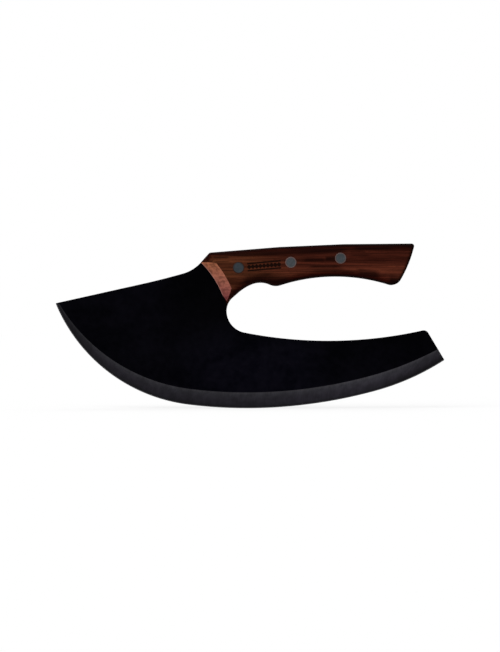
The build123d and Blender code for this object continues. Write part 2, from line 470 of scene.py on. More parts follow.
scale = {
    "thickness": 8.0,
    "proud": 0.06,  # how far the rivets stand out of the wood
    "roll": 4.5,  # radius of the long edges
    "buttRoll": 1.6,
    "runOn": 12.0,  # the long edges' rolls run on past the butt
    "arcRadius": 62.0,  # hollow front end, on the tang
    "arcInset": 0.05,
    "arcReach": 8.6,  # its lower end, round the hook
    "slopeWidth": 7.2,  # sloped end grain
    "highFacet": (-21.8 + 94.6j, -25.65 + 101.75j),  # facets at the ends of that slope
    "lowFacet": -12.05 + 78.45j,
    "lowStart": -15.95 + 68.0j,
    "hole": [(0, 12), (3.75, 12), (3.75, 7.25), (2.45, 7.25), (2.45, 0), (0, 0)],  # pocket and bore
    "ease": 0.15,  # softness of the crisp borders
    "blend": 0.5,  # softness where two rolls meet
    "acrossSteps": (26.0, 0.05, 0.05, 0.45, 1.3),
    "slopeSteps": (7.2, 0.12, 0.08, 0.3, 1.25),
    "alongSteps": (128.0, 0.08, 0.06, 0.45, 1.25),
    "rollStep": 0.4,  # steps of the runs that the rolls follow
    "buttPoints": (40, 90),  # points past the butt's corners that its roll takes in
    "leastDepth": 0.12,  # roll depth from which the end grain may begin
    "thinnest": 0.004,  # thinner wood is left out
}


def rolled(distance, radius):
    # Depth of a rolled edge: the radius less the circle's height at a distance from the outline
    return radius - np.sqrt(np.maximum(radius ** 2 - np.maximum(radius - distance, 0) ** 2, 0))


def ramp01(value, ease):
    # Zero below nought and the value above it, eased round the bend
    return (value + np.sqrt(value ** 2 + ease ** 2)) / 2


def deeper(first, second):
    # The deeper of two cuts, blended where they are about as deep
    deep = np.maximum(first, second)
    room = np.minimum(np.minimum(deep, scale["blend"]), np.maximum(scale["thickness"] - deep, 0) / 2) + 1e-9
    return deep + room / 4 * np.maximum(1 - np.abs(first - second) / room, 0) ** 2


def facetHeight(points, start, first, second):
    # Height over the tang of the plane through a point on it and two on the outer face
    arms = np.array([first - start, second - start])
    slope = np.linalg.solve(rowsOf(arms.real, arms.imag), [scale["thickness"]] * 2)
    return slope[0] * (points - start).real + slope[1] * (points - start).imag


def lowFacet(points):
    # Height of the facet at the lower end of the slope
    return facetHeight(points, scale["lowStart"], handleRun["gripEnd"], scale["lowFacet"])


def frontArc():
    # Centre and upper end of the wood's front arc, which ends on the hook of the blade
    slope, hook = handleRun["slope"], finer(handleRun["hook"])
    high = slope[0] + scale["arcInset"] * unit(slope[1] - slope[0])
    low = at(hook, [scale["arcReach"] / runLength(hook)[-1]])[0]
    half = (low - high) / 2
    back = 1j * unit(half) * np.sqrt(scale["arcRadius"] ** 2 - abs(half) ** 2)
    return (high + low) / 2 - back, high


def scaleGrid():
    # Plan of the scale as a grid: arcs about the front end's centre, then a patch to the butt
    lowRun = finer(underRun[::-1])
    centre, start = frontArc()
    first = np.argmax(lowFacet(lowRun) > 0)
    arc = centre + scale["arcRadius"] * heading(np.linspace(0, 60, 6001))
    foot = arc[np.argmax(lowFacet(arc) > 0)]
    lowRun = joined(lineTo(foot, lowRun[first]), lowRun[first:])
    across = stations(*scale["acrossSteps"])
    reach = scale["arcRadius"] + scale["slopeWidth"] * stations(*scale["slopeSteps"])
    corner = lowRun[nearestIndex(lowRun, underRun[::-1][first])]
    reach = np.sort(np.append(reach, abs(corner - centre)))

    def angleAt(run):
        return np.interp(reach, np.abs(run - centre), np.angle(run - centre))

    lowEnd, topEnd = [np.argmax(np.abs(run - centre) > reach[-1]) for run in (lowRun, topRun)]
    lowAngle, topAngle = angleAt(lowRun[:lowEnd + 1]), angleAt(topRun[:topEnd + 1])
    turns = lowAngle[:, None] + across[None, :] * (topAngle - lowAngle)[:, None]
    front = centre + reach[:, None] * np.exp(1j * turns)
    along = stations(*scale["alongSteps"])
    low = at(np.append(front[-1, 0], lowRun[lowEnd:]), along)
    high = at(np.append(front[-1, -1], topRun[topEnd:]), along)
    rear = coons(front[-1], at(buttRun[::-1], across), low, high, across, along)
    return np.concatenate([front, rear[1:]]), centre, start


def scaleHeights(plan, centre, start):
    # Height over the tang: the thickness less the deepest of rolls, end slope and facets
    thickness = scale["thickness"]
    crown, under = handleRun["crown"], handleRun["under"]
    crownOn = np.append(crown, crown[-1] + scale["runOn"] * unit(crown[-1] - crown[-2]))
    underOn = np.append(under[0] + scale["runOn"] * unit(under[0] - under[1]), under)
    edges = [distanceTo(plan, finer(run, scale["rollStep"]))
             for run in (handleRun["slope"], crownOn, underOn)]
    topPoints, lowPoints = scale["buttPoints"]
    buttDistance = distanceTo(plan, joined(topRun[-topPoints:], buttRun, underRun[:lowPoints]))
    cuts = [rolled(distance, scale["roll"]) for distance in edges]
    cuts.append(rolled(buttDistance, scale["buttRoll"]))
    for facet in (facetHeight(plan, start, *scale["highFacet"]), lowFacet(plan)):
        cuts.append(ramp01(thickness - facet, scale["ease"]))
    depth = reduce(deeper, cuts)
    reach = scale["arcRadius"] + scale["slopeWidth"] - np.abs(plan - centre)
    endCut = ramp01(reach, scale["ease"]) * thickness / scale["slopeWidth"]
    height = np.clip(thickness - deeper(depth, endCut), 0, None)
    height[height < scale["thinnest"]] = 0
    longEdge = np.min(edges, axis=0)
    values = {"endGrain": endCut - np.maximum(depth, scale["leastDepth"]),
              "longEdge": longEdge, "rim": np.minimum(longEdge, buttDistance)}
    return height * (1 - scale["proud"] / thickness), values


def shellPiece(name, plan, height, side, values, material):
    # Closed shell: the surface over the plan, a wall down to the tang, a flat inner face
    level = fit["sheetHalf"]
    outer = rowsOf(plan.real, side * (level + height), plan.imag)
    index = np.arange(plan.size).reshape(plan.shape)
    loop = np.concatenate([index[:, 0], index[-1, 1:], index[-2::-1, -1], index[0, -2:0:-1]])
    inner = outer[loop].copy()
    inner[:, 1] = side * level
    low = plan.size + np.arange(len(loop))
    walls = rowsOf(loop, low, np.roll(low, -1), np.roll(loop, -1))
    faces = [*gridFaces(index).tolist(), *walls.tolist(), low.tolist()]
    shared = {key: np.append(value, value.ravel()[loop]) for key, value in values.items()}
    mesh = surfaceMesh(name, np.concatenate([outer, inner]), faces, shared)
    return finishPiece(name, punched(mesh, scale["hole"], side), [material])


# Wood

wood = {
    "grainTilt": 3.0,  # degrees that the grain rises towards the butt
    # Noises on the object's own X, Y and Z: stretch, detail, roughness, distortion
    "bands": ((6, 130, 130), 4, 0.55, 0.6),
    "fibres": ((24, 750, 750), 5, 0.62, 0.25),
    "lines": ((40, 2300, 2300), 3, 0.6),
    "pores": ((260, 3600, 3600), 2, 0.5),
    "mottle": ((310, 310, 310), 4, 0.62, 0.4),
    "rings": ((90, 90, 800), 3, 0.5, 0.6),
    "endPores": ((2400, 2400, 2400), 2, 0.5),
    "ringShare": 0.4,
    "bandStops": [(0.32, shade((38, 14, 8))), (0.5, shade((58, 27, 18))), (0.68, shade((76, 40, 27)))],
    # Gains and shares that follow a noise or a place: its two limits, then the value at each
    "fibreGain": (0.3, 0.7, 0.6, 1.42),
    "lineGain": (0.35, 0.65, 0.76, 1.22),
    "poreFrom": (0.6, 0.68),
    "poreShare": 0.6,
    "frontTint": (1.08, 1.1, 0.84),  # yellower wood round the front rivet
    "rearTint": (1.0, 0.78, 0.74),
    "tintFrom": (-20 * mm, 45 * mm),
    "paintedEdgeShade": (0.3, 0.1, 0.06),  # painted shade: the wood darkens towards its long, rolled edges
    "edgeFrom": (0.9 * mm, 6.0 * mm),
    "edgeRagged": 3.0 * mm,
    "sideLift": (3.0 * mm, 6.5 * mm),  # the painted shade on the edges and rim is weaker on the top and underside than round the face
    "sideEdge": 0.4,
    "sideRim": 0.5,
    "frontRimShade": shade((26, 9, 6)),  # painted shade on the rolled edges, front to rear
    "rearRimShade": shade((6, 2, 1)),
    "rimFrom": (1.9 * mm, 0.1 * mm),
    "rimRagged": 1.2 * mm,
    "rimWidens": (85 * mm, 105 * mm, 1.0, 0.62),  # the painted rim shade widens towards the butt, as a factor on the distance
    "rimShares": (0.95, 0.15),  # share of painted rim shade on the sides, on the end grain
    "darkColour": shade((14, 3, 2)),
    "wander": 4.0 * mm,
    "streakGain": (0.3, 0.6, 1.0, 0.75),
    "streaks": [  # dark wood figure, and painted shade on the rolled top and underside edges and the butt's lower corner, in mm: X, Z, half length, half width, rise, strength
        (14, 101.5, 36, 1.4, 0.055, 0.85),
        (46, 103.0, 24, 1.7, 0.045, 0.97),
        (80, 104.6, 17, 1.5, 0.030, 0.92),
        (-19, 98.3, 7, 0.7, 0.02, 0.75),
        (-18, 95.4, 6, 0.5, 0.03, 0.55),
        (5, 84.9, 12, 2.1, 0.12, 0.88),
        (18.0, 84.0, 10, 2.6, -0.12, 0.97),
        (42, 97.0, 9, 1.2, 0.02, 0.8),
        (53, 98.2, 5, 1.4, 0.05, 0.95),
        (49, 92.6, 13, 1.3, 0.0, 0.85),
        (52, 89.4, 14, 1.2, 0.0, 0.6),
        (70, 103.0, 7, 1.2, -0.05, 0.55),
        (72, 100.0, 8, 0.6, 0.0, 0.6),
        (68, 88.6, 11, 0.8, 0.03, 0.75),
        (77, 88.2, 9, 2.0, -0.14, 0.9),
        (95.2, 83.2, 5.5, 2.9, -0.1, 0.98),
    ],
    "endStops": [(0.0, shade((106, 54, 54))), (0.55, shade((142, 86, 70))), (1.0, shade((136, 82, 58)))],
    "endFrom": (72 * mm, 95 * mm),  # end grain, lower end to upper end
    "endGain": (0.35, 0.65, 0.58, 1.4),
    "endPore": shade((70, 30, 26)),
    "endPoreFrom": (0.58, 0.68),
    "endPoreShare": 0.5,
    "endBorder": (-0.05 * mm, 0.08 * mm),
    "endFoot": shade((168, 118, 108)),  # lighter line where the slope meets the tang
    "footFrom": (1.9 * mm, 1.35 * mm, 0, 0.7),
    "tailPoint": (-15.2 * mm, 70.3 * mm),  # under this point the end grain gets painted shade too
    "tailSlope": 1.4,
    "tailSoft": (0.3 * mm, -0.5 * mm),
    "tailDark": (69.8 * mm, 68.8 * mm),
    "markPlace": (9.2 * mm, 93.1 * mm),  # burnt ornament between the first two rivets
    "markTilt": 5.0,
    "markLength": 22.0 * mm,
    "markRail": (2.3 * mm, 0.5 * mm),  # height over the middle line, half width
    "markDiamonds": 9,
    "markDiamond": 1.62 * mm,
    "markSoft": 0.12 * mm,
    "markSide": (-8.8 * mm, -9.1 * mm),
    "markColour": shade((16, 6, 4)),
    "markShare": 0.95,
    "roughness": (0.3, 0.7, 0.55, 0.42),
    "rimRoughness": 0.7,
    "relief": (0.35, 0.06 * mm),
    "fibreRelief": 0.6,
    "gloss": 0.012,
}


def streakMask(place, wander, streak):
    # Soft band about a tilted line: fades with the distance from the line and from its middle
    x, z, halfLength, halfWidth = [value * mm for value in streak[:4]]
    rise, strength = streak[4:]
    offX = minus(place["X"], x)
    offZ = minus(minus(place["Z"], timesPlus(offX, rise, z)), wander)
    width = remap(absolute(offZ), halfWidth * 1.5, halfWidth * 0.2)
    length = remap(absolute(offX), halfLength, halfLength * 0.5)
    return reduce(times, [width, length, strength])


def markMask():
    # Two rails with a row of diamonds between them, on the left side only
    x, z = wood["markPlace"]
    soft = wood["markSoft"]

    def under(value, limit):
        return remap(value, limit + soft, limit - soft)

    place = objectPlace()
    moved = node("Mapping", {"Vector": place, "Location": (-x, 0, -z)})
    part = split(node("Mapping", {"Vector": moved, "Rotation": (0, radians(wood["markTilt"]), 0)}))
    along, up = part["X"], absolute(part["Z"])
    reach = wood["markLength"] / 2
    railHeight, railHalf = wood["markRail"]
    rail = under(absolute(minus(up, railHeight)), railHalf)
    pitch = wood["markLength"] / wood["markDiamonds"]
    cell = math("FRACT", math("DIVIDE", plus(along, reach), pitch))
    off = times(absolute(minus(cell, 0.5)), pitch)
    both = larger(rail, under(plus(off, up), wood["markDiamond"]))
    inLength = under(absolute(along), reach)
    side = remap(split(place)["Y"], *wood["markSide"])
    return reduce(times, [both, inLength, side])


def endColour(place, lift):
    # End grain of the sloped front end: its colour, painted shade at its lower tip, and the height of its
    # relief
    mottle, rings, pores = [grain(*wood[key]) for key in ("mottle", "rings", "endPores")]
    end = ramp(remap(place["Z"], *wood["endFrom"], smooth=False), wood["endStops"])
    patch = blended(mottle, rings, wood["ringShare"])
    end = multiplied(end, remap(patch, *wood["endGain"]))
    pore = remap(pores, *wood["endPoreFrom"])
    end = mixed(times(pore, wood["endPoreShare"]), end, wood["endPore"])
    end = mixed(remap(lift, *wood["footFrom"]), end, wood["endFoot"])
    # Painted shade on the end grain under a point near its lower tip
    tailX, tailZ = wood["tailPoint"]
    aside = absolute(minus(place["X"], tailX))
    over = minus(place["Z"], timesPlus(aside, wood["tailSlope"], tailZ))
    end = mixed(remap(over, *wood["tailSoft"]), end, wood["rearRimShade"])
    return end, minus(mottle, pore)


def woodMaterial():
    # Long fibres on object coordinates: bands, streaks, pores, dark figure, painted shade on the rolled
    # edges and rim, end grain
    newMaterial("oiledWood")
    turn = (0, radians(wood["grainTilt"]), 0)
    bands, fibres, lines, pores = [
        grain(*wood[key], turn=turn) for key in ("bands", "fibres", "lines", "pores")]
    place = split(objectPlace())
    lift = absolute(place["Y"])
    along = remap(place["X"], *wood["tintFrom"])
    onFace = remap(lift, *wood["sideLift"])
    uneven = minus(fibres, 0.5)
    base = ramp(bands, wood["bandStops"])
    base = multiplied(base, remap(fibres, *wood["fibreGain"]))
    base = multiplied(base, remap(lines, *wood["lineGain"]))
    base = tinted(base, mixed(along, wood["frontTint"], wood["rearTint"]))
    # Painted shade towards the long rolled edges, weaker on the top and underside
    inward = timesPlus(uneven, wood["edgeRagged"], stored("longEdge"))
    onSides = timesPlus(onFace, -wood["sideEdge"], wood["sideEdge"])
    plain = larger(remap(inward, *wood["edgeFrom"]), onSides)
    base = tinted(base, mixed(plain, wood["paintedEdgeShade"], (1, 1, 1)))
    pore = remap(pores, *wood["poreFrom"])
    base = mixed(times(pore, wood["poreShare"]), base, wood["darkColour"])
    # Dark figure, partly real wood figure and partly painted shade on the rolled edges
    wander = times(minus(bands, 0.5), wood["wander"])
    figureAndShade = reduce(larger, [streakMask(place, wander, streak) for streak in wood["streaks"]])
    base = mixed(times(figureAndShade, remap(fibres, *wood["streakGain"])), base, wood["darkColour"])
    mark = markMask()
    base = mixed(times(mark, wood["markShare"]), base, wood["markColour"])
    end, endRelief = endColour(place, lift)
    onEnd = remap(stored("endGrain"), *wood["endBorder"])
    base = mixed(onEnd, base, end)
    # Painted shade on the lowest wood, beside the hook
    base = mixed(remap(place["Z"], *wood["tailDark"]), base, wood["rearRimShade"])
    # Painted shade on the rolled rim, by the distance from the outline
    ragged = timesPlus(uneven, wood["rimRagged"], stored("rim"))
    ragged = times(ragged, remap(place["X"], *wood["rimWidens"]))
    rim = times(remap(ragged, *wood["rimFrom"]), remap(onEnd, 0, 1, *wood["rimShares"]))
    rim = times(rim, remap(onFace, 0, 1, wood["sideRim"], 1, smooth=False))
    base = mixed(rim, base, mixed(along, wood["frontRimShade"], wood["rearRimShade"]))
    rough = larger(remap(fibres, *wood["roughness"]), times(rim, wood["rimRoughness"]))
    relief = minus(times(fibres, wood["fibreRelief"]), larger(pore, mark))
    height = node("Mix", {0: onEnd, 2: relief, 3: endRelief})
    return setShader(base, rough, height, wood["relief"], wood["gloss"])


woodFinish = woodMaterial()
plan, arcCentre, arcStart = scaleGrid()
height, woodValues = scaleHeights(plan, arcCentre, arcStart)
for nodeName, pieceName, side in (("left_scale", "leftScale", -1), ("right_scale", "rightScale", 1)):
    piece = shellPiece(pieceName, plan, height, side, woodValues, woodFinish)
    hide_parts(nodeName)
print("scales made")


# Blade

blade = {
    "tip": -127.3 + 68.7j,  # corners, before rounding
    "heel": 127.3 + 31.55j,
    "heelEnd": (23.2, 120.9),  # length and heading of the heel's straight end
    "pointRadius": 0.45,
    "heelTopRadius": 3.4,
    "hollow": (24.7, 195.9),  # shoulder in front of the handle
    "shoulder": (480.0, 192.5),
    "hookLower": (14.4, 348.8),
    "edgeLow": -2.2 + 0j,  # lowest point of the edge
    "bellies": ((311.0, 172.94), (319.0, 15.4)),  # radius and last heading, to the tip and to the heel
    "honeWidths": (0.65, 0.65, 0.65),  # over the belly, at the tip, at the heel
    "bevelWidths": (10.3, 1.9, 8.3),
    "halves": (0.07, 0.3, fit["sheetHalf"]),  # half thickness at the edge, below and above the bevel
    "ease": 0.15,  # softened edges of the sheet
    "outlineStep": 0.3,
    "runOn": 12.0,
    "partners": (-127.3, -62.0, -31.0, -7.0, 108.0, 127.3),  # X on the edge below the upper corners
    "steps": [(0.05, 0.5, 1.3, 1.25), (0.08, 0.08, 1.1, 1.45), (0.5, 0.5, 0.5, 1.1),
              (0.5, 0.35, 1.3, 1.2), (0.35, 0.05, 1.0, 1.3)],
    "tangSteps": (150.0, 0.3, 0.08, 0.6, 1.3),
    "honeRows": (0, 0.5, 0.97),
    "bevelRows": (0, 0.015, 0.12, 0.3, 0.5, 0.7, 0.88, 0.985),
    "flatRows": (0, 0.01, 0.05, 0.12, 0.2, 0.3, 0.4, 0.5, 0.6, 0.7, 0.8, 0.88, 0.94, 0.98),
    "easeRows": (1, 0.75, 0.5, 0.3, 0.12, 0),
    "tangLead": -50.0,  # value of the leads on the tang, far from any border
    "hole": [(0, 4), (2.45, 4), (2.45, -4), (0, -4)],  # rivet hole: radius, height on the sheet's middle
    "clouds": ((24, 24, 34), 5, 0.62, 0.3),  # noises of the coat, as for the wood
    "patches": ((260, 260, 260), 3, 0.55),
    "grit": ((2400, 2400, 2400), 2, 0.5),
    "patchShare": 0.3,
    "coatStops": [(0.4, shade((1, 1, 4))), (0.66, shade((8, 7, 13)))],
    "coatGains": [(0.0, 0.7), (0.3, 0.85), (0.42, 1.5), (0.62, 1.5), (0.72, 0.8), (1.0, 0.7)],
    "coatHigh": (25 * mm, 70 * mm, 0, 0.8),  # the coat is blacker high up in front of the handle
    "coatBehind": (-70 * mm, -30 * mm),
    "coatRoughness": (0.3, 0.7, 0.5, 0.38),
    "coatRelief": (0.12, 0.02 * mm),
    "coatGloss": 0.01,
    "scratches": ((2200, 1.5), 4, 0.65),  # pitch along the edge and over the bevel, detail, roughness
    "stains": ((190, 2.2), 3, 0.5),
    "groundStops": [(0.0, (16, 15, 19)), (0.07, (21, 20, 24)), (0.14, (27, 26, 31)), (0.24, (29, 27, 33)),
                    (0.5, (33, 31, 37)), (0.8, (40, 39, 44)), (0.96, (48, 47, 51)), (1.0, (45, 44, 48))],
    "groundGains": [(0.0, 0.45), (0.05, 0.4), (0.1, 0.66), (0.2, 0.8), (0.42, 0.9), (0.62, 1.05),
                    (0.8, 1.28), (0.9, 1.06), (1.0, 0.7)],  # brightness from tip to heel
    "scratchGain": (0.3, 0.7, 0.84, 1.16),
    "stainGain": (0.3, 0.7, 0.8, 1.2),
    "heelShade": (66 * mm, 104 * mm),  # the foot of the bevel is darker at the heel
    "heelFoot": (0.45, 0.0, 0, 0.68),
    "groundRelief": (0.15, 0.02 * mm),
    "groundGloss": 0.06,
    "span": 127.0 * mm,
    "honed": shade((38, 37, 41)),
    "honedLines": ((3000,), 3, 0.6),
    "honedGain": (0.3, 0.7, 0.8, 1.15),
    "honedRelief": (0.2, 0.01 * mm),
    "honedMetal": 0.1,
    "steelRoughness": 0.45,
}


def edgeRun(inset, tipInset, heelInset, runOn=0):
    # Tip to heel at an inset from the edge: two bellies, each led on by an arc to its end
    halves = []
    for (radius, end), start, corner, aside in zip(
            blade["bellies"], (180, 0), (blade["tip"], blade["heel"]), (-1j * tipInset, 1j * heelInset)):
        trueEnd = tangentArc(arcOn(blade["edgeLow"], (start, end), radius)[-1], end, corner)
        belly = arcOn(blade["edgeLow"] + 1j * inset, (start, end), radius - inset)
        ending = tangentArc(belly[-1], end, corner + aside * unit(trueEnd[-1] - trueEnd[-2]))
        onward = ending[-1] + runOn * unit(ending[-1] - ending[-2]) * np.linspace(0, 1, 9)[1:]
        halves.append(np.concatenate([belly, ending[1:], onward if runOn else []]))
    return joined(halves[0][::-1], halves[1])


def bladeRuns():
    # The edge, and the upper runs from tip to heel: spine, neck line, hook, back, heel end
    hook = handleRun["hook"]
    hollow = bentOn(handleRun["slope"][0], handle["slopeAngle"], [blade["hollow"]])
    shoulder = bentOn(hollow[-1], blade["hollow"][1], [blade["shoulder"]])
    hookLower = bentOn(hook[-1], handle["hookUpper"][1], [blade["hookLower"]])
    length, angle = blade["heelEnd"]
    heelTop = blade["heel"] + length * heading(angle)
    back = tangentArc(hookLower[-1], blade["hookLower"][1], heelTop)
    outline = joined(shoulder, lineTo(shoulder[-1], blade["tip"]))
    outline = roundedCorner(outline, edgeRun(0, 0, 0), blade["pointRadius"])
    outline = roundedCorner(outline, lineTo(blade["heel"], heelTop), blade["pointRadius"])
    outline = roundedCorner(outline, back[::-1], blade["heelTopRadius"])
    tip, heel, top = [nearestIndex(outline, corner) for corner in (blade["tip"], blade["heel"], heelTop)]
    upper = [outline[:tip + 1][::-1], lineTo(hollow[-1], hook[-1]), hookLower,
             outline[top:][::-1], outline[heel:top + 1][::-1]]
    return outline[tip:heel + 1], upper, hollow


def crossing(starts, ends, run):
    # Share of each straight line at which it first crosses a run of points
    reach = (ends - starts)[:, None]
    gap, step = run[None, :-1] - starts[:, None], np.diff(run)[None, :]
    turn = (reach.conj() * step).imag
    turn = np.where(np.abs(turn) < 1e-12, 1e-12, turn)
    share = (gap.conj() * step).imag / turn
    along = (gap.conj() * reach).imag / turn
    met = (np.abs(along - 0.5) <= 0.5 + 1e-6) & (share > 0)
    return np.where(met, share, 9.0).min(axis=1)


def bladeGrid(edge, upper):
    # Plan of the blade: lines from the edge up to the upper runs, with rows on both borders of the bevel.
    # Half thickness: rises evenly over the honed strip, then over the bevel, then level
    length = runLength(edge)
    anchors = np.interp(blade["partners"], edge.real, length)
    tops, lower, corners = [upper[0][:1]], [anchors[:1]], [0]
    for run, step, low, high in zip(upper, blade["steps"], anchors[:-1], anchors[1:]):
        share = stations(runLength(run)[-1], *step)[1:]
        tops.append(at(run, share))
        lower.append(low + (high - low) * share)
        corners.append(corners[-1] + len(share))
    tops, lower = np.concatenate(tops), np.concatenate(lower)
    feet = at(edge, lower / length[-1])
    hone, border = [crossing(feet, tops, edgeRun(*blade[key], blade["runOn"]))
                    for key in ("honeWidths", "bevelWidths")]
    hone[[0, -1]], border[[0, -1]] = hone[[1, -2]], border[[1, -2]]
    reach = np.abs(tops - feet) + 1e-9
    honeEnd, borderEnd = np.minimum(hone, 1), np.minimum(border, 1)
    ease = np.minimum(blade["ease"] / reach, 0.3 * (1 - borderEnd))
    honeRows, bevelRows, flatRows, easeRows = [
        np.array(blade[key])[:, None] for key in ("honeRows", "bevelRows", "flatRows", "easeRows")]
    share = np.concatenate([honeRows * honeEnd, honeEnd + bevelRows * (borderEnd - honeEnd),
                            borderEnd + flatRows * (1 - ease - borderEnd), 1 - easeRows * ease])
    leads = {"bevelLead": (border - share) * reach, "honeLead": (hone - share) * reach,
             "alongEdge": np.broadcast_to(lower, share.shape)}
    edgeHalf, honeHalf, sheetHalf = blade["halves"]
    honed = edgeHalf + (honeHalf - edgeHalf) * share / hone
    bevel = honeHalf + (sheetHalf - honeHalf) * (share - hone) / (border - hone)
    half = np.minimum(np.where(share < hone, honed, bevel), sheetHalf)
    return feet + share * (tops - feet), half, leads, corners


def tangPlan(neck, hollow):
    # Patch from the neck line to the butt, between the handle's top and underside
    share = stations(runLength(neck)[-1], *blade["steps"][1])
    across = 1 - share[::-1]
    along = stations(*blade["tangSteps"])
    high = at(joined(hollow[::-1], topRun), along)
    low = at(underRun[::-1], along)
    return coons(at(neck, share)[::-1], at(buttRun[::-1], across), low, high, across, along)


def sheetMesh(name):
    # Both sides of the blade and of the tang, mirrored, with walls along the outline
    edge, upper, hollow = bladeRuns()
    plan, half, leads, corners = bladeGrid(edge, upper)
    tang = tangPlan(upper[1], hollow)
    flat = np.append(plan, tang)
    # Rolled over along the whole outline but for the cutting edge: spine, handle, hook, back and heel end
    outline = np.concatenate([upper[0], hollow[::-1], topRun, buttRun, underRun, *upper[2:]])
    roll = rolled(distanceTo(flat, finer(outline, blade["outlineStep"])), blade["ease"])
    level = np.append(half, np.full(tang.size, fit["sheetHalf"]))
    halves = np.maximum(level - roll, blade["halves"][0])
    points = np.concatenate([rowsOf(flat.real, side * halves, flat.imag) for side in (-1, 1)])
    onBlade = np.arange(plan.size).reshape(plan.shape)
    onTang = plan.size + np.arange(tang.size).reshape(tang.shape)
    sides = np.concatenate([gridFaces(onBlade), gridFaces(onTang)])
    borders = [onBlade[0], onBlade[-1, :corners[1] + 1], onBlade[-1, corners[2]:],
               onTang[:, 0], onTang[:, -1], onTang[-1]]
    walls = [rowsOf(run[:-1], run[1:], run[1:] + len(flat), run[:-1] + len(flat)) for run in borders]
    tangLeads = np.full(tang.size, blade["tangLead"])
    values = {key: np.tile(np.append(value, tangLeads), 2) for key, value in leads.items()}
    return surfaceMesh(name, points, np.concatenate([sides, sides + len(flat), *walls]).tolist(), values)


def faceSums(mesh, name):
    # Sum of a vertex attribute over the corners of each face
    values = np.empty(len(mesh.vertices), np.float32)
    mesh.attributes[name].data.foreach_get("value", values)
    corners = np.empty(len(mesh.loops), np.int32)
    mesh.loops.foreach_get("vertex_index", corners)
    starts = np.empty(len(mesh.polygons), np.int32)
    mesh.polygons.foreach_get("loop_start", starts)
    return np.add.reduceat(values[corners], starts)


def levelAlong(gains):
    # Gain read off (place, gain) pairs from tip to heel, halved in the ramp to stay under one
    across = split(objectPlace())["X"]
    length = remap(across, -blade["span"], blade["span"], smooth=False)
    return times(ramp(length, [(stop, (gain / 2,) * 3) for stop, gain in gains]), 2.0)


def coatMaterial():
    # Matt black coat: faint bluish clouding and a fine pebble
    newMaterial("blackCoat")
    clouds, patches, grit = [grain(*blade[key]) for key in ("clouds", "patches", "grit")]
    base = ramp(blended(clouds, patches, blade["patchShare"]), blade["coatStops"])
    place = split(objectPlace())
    high = times(remap(place["Z"], *blade["coatHigh"]), remap(place["X"], *blade["coatBehind"]))
    gain = times(levelAlong(blade["coatGains"]), minus(1.0, high))
    rough = remap(clouds, *blade["coatRoughness"])
    return setShader(multiplied(base, gain), rough, grit, blade["coatRelief"], blade["coatGloss"])


def groundMaterial():
    # Ground bevel: lines square to the edge, lighter towards the coat, brightest before the heel
    newMaterial("groundBevel")
    place = split(objectPlace())
    halfEdge, halfSheet = [half * mm for half in blade["halves"][1:]]
    across = remap(absolute(place["Y"]), halfEdge, halfSheet, smooth=False)
    lengths = (stored("alongEdge"), across)
    scratch, stain = [lineNoise(lengths, *blade[key]) for key in ("scratches", "stains")]
    base = ramp(across, [(stop, shade(colour)) for stop, colour in blade["groundStops"]])
    foot = times(remap(across, *blade["heelFoot"], smooth=False), remap(place["X"], *blade["heelShade"]))
    gain = reduce(times, [remap(scratch, *blade["scratchGain"]), remap(stain, *blade["stainGain"]),
                          levelAlong(blade["groundGains"]), minus(1.0, foot)])
    return setShader(multiplied(base, gain), blade["steelRoughness"], scratch,
                     blade["groundRelief"], blade["groundGloss"])


def honedMaterial():
    # Honed edge: dark bare steel with fine lines, which catches a little light
    newMaterial("honedEdge")
    scratch = lineNoise([stored("alongEdge")], *blade["honedLines"])
    base = multiplied(blade["honed"], remap(scratch, *blade["honedGain"]))
    return setShader(base, blade["steelRoughness"], scratch, blade["honedRelief"],
                     metallic=blade["honedMetal"])


def makeBlade(name):
    # Coat on the sheet, ground bevels and honed edge, told apart by their leads over the borders
    mesh = punched(sheetMesh(name), blade["hole"], 1)
    materials = [coatMaterial(), groundMaterial(), honedMaterial()]
    piece = finishPiece(name, mesh, materials)
    ground, honed = faceSums(mesh, "bevelLead") > 0, faceSums(mesh, "honeLead") > 0
    mesh.polygons.foreach_set("material_index", np.where(honed, 2, ground * 1).astype(np.int32))
    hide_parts("blade")


makeBlade("cleaverBlade")
print("blade made")


# Rivets

rivet = {
    "headRadius": 3.7 * mm,
    "headThickness": 2.0 * mm,
    "face": 9.25 * mm,
    "dish": 0.05 * mm,  # fall of the middle below the rim
    "rimStart": 2.95 * mm,
    "rimBlend": 0.25 * mm,
    "edgeRound": 0.35 * mm,
    "postRadius": 1.5 * mm,
    "postReach": 5.0 * mm,
    "nose": 0.5 * mm,
    "sleeveRadius": 2.4 * mm,
    "sleeveReach": 4.5 * mm,
    "boreRadius": 1.55 * mm,
    "middle": shade((59, 63, 66)),
    "shadedMiddle": shade((43, 49, 54)),
    "rim": shade((92, 72, 69)),
    "shadedRim": shade((33, 26, 24)),
    "rings": ((6000,), 2, 0.5),
    "clouds": ((500, 500, 500), 3, 0.6),
    "ringGain": (0.3, 0.7, 0.9, 1.12),
    "cloudGain": (0.3, 0.7, 0.85, 1.15),
    "relief": (0.15, 0.01 * mm),
    "metal": 0.25,
    "roughness": 0.5,
    "gloss": 0.1,
    "brightness": {"front": 0.15, "middle": 1.0, "rear": 0.85},  # the front one is darkened with painted shade
}


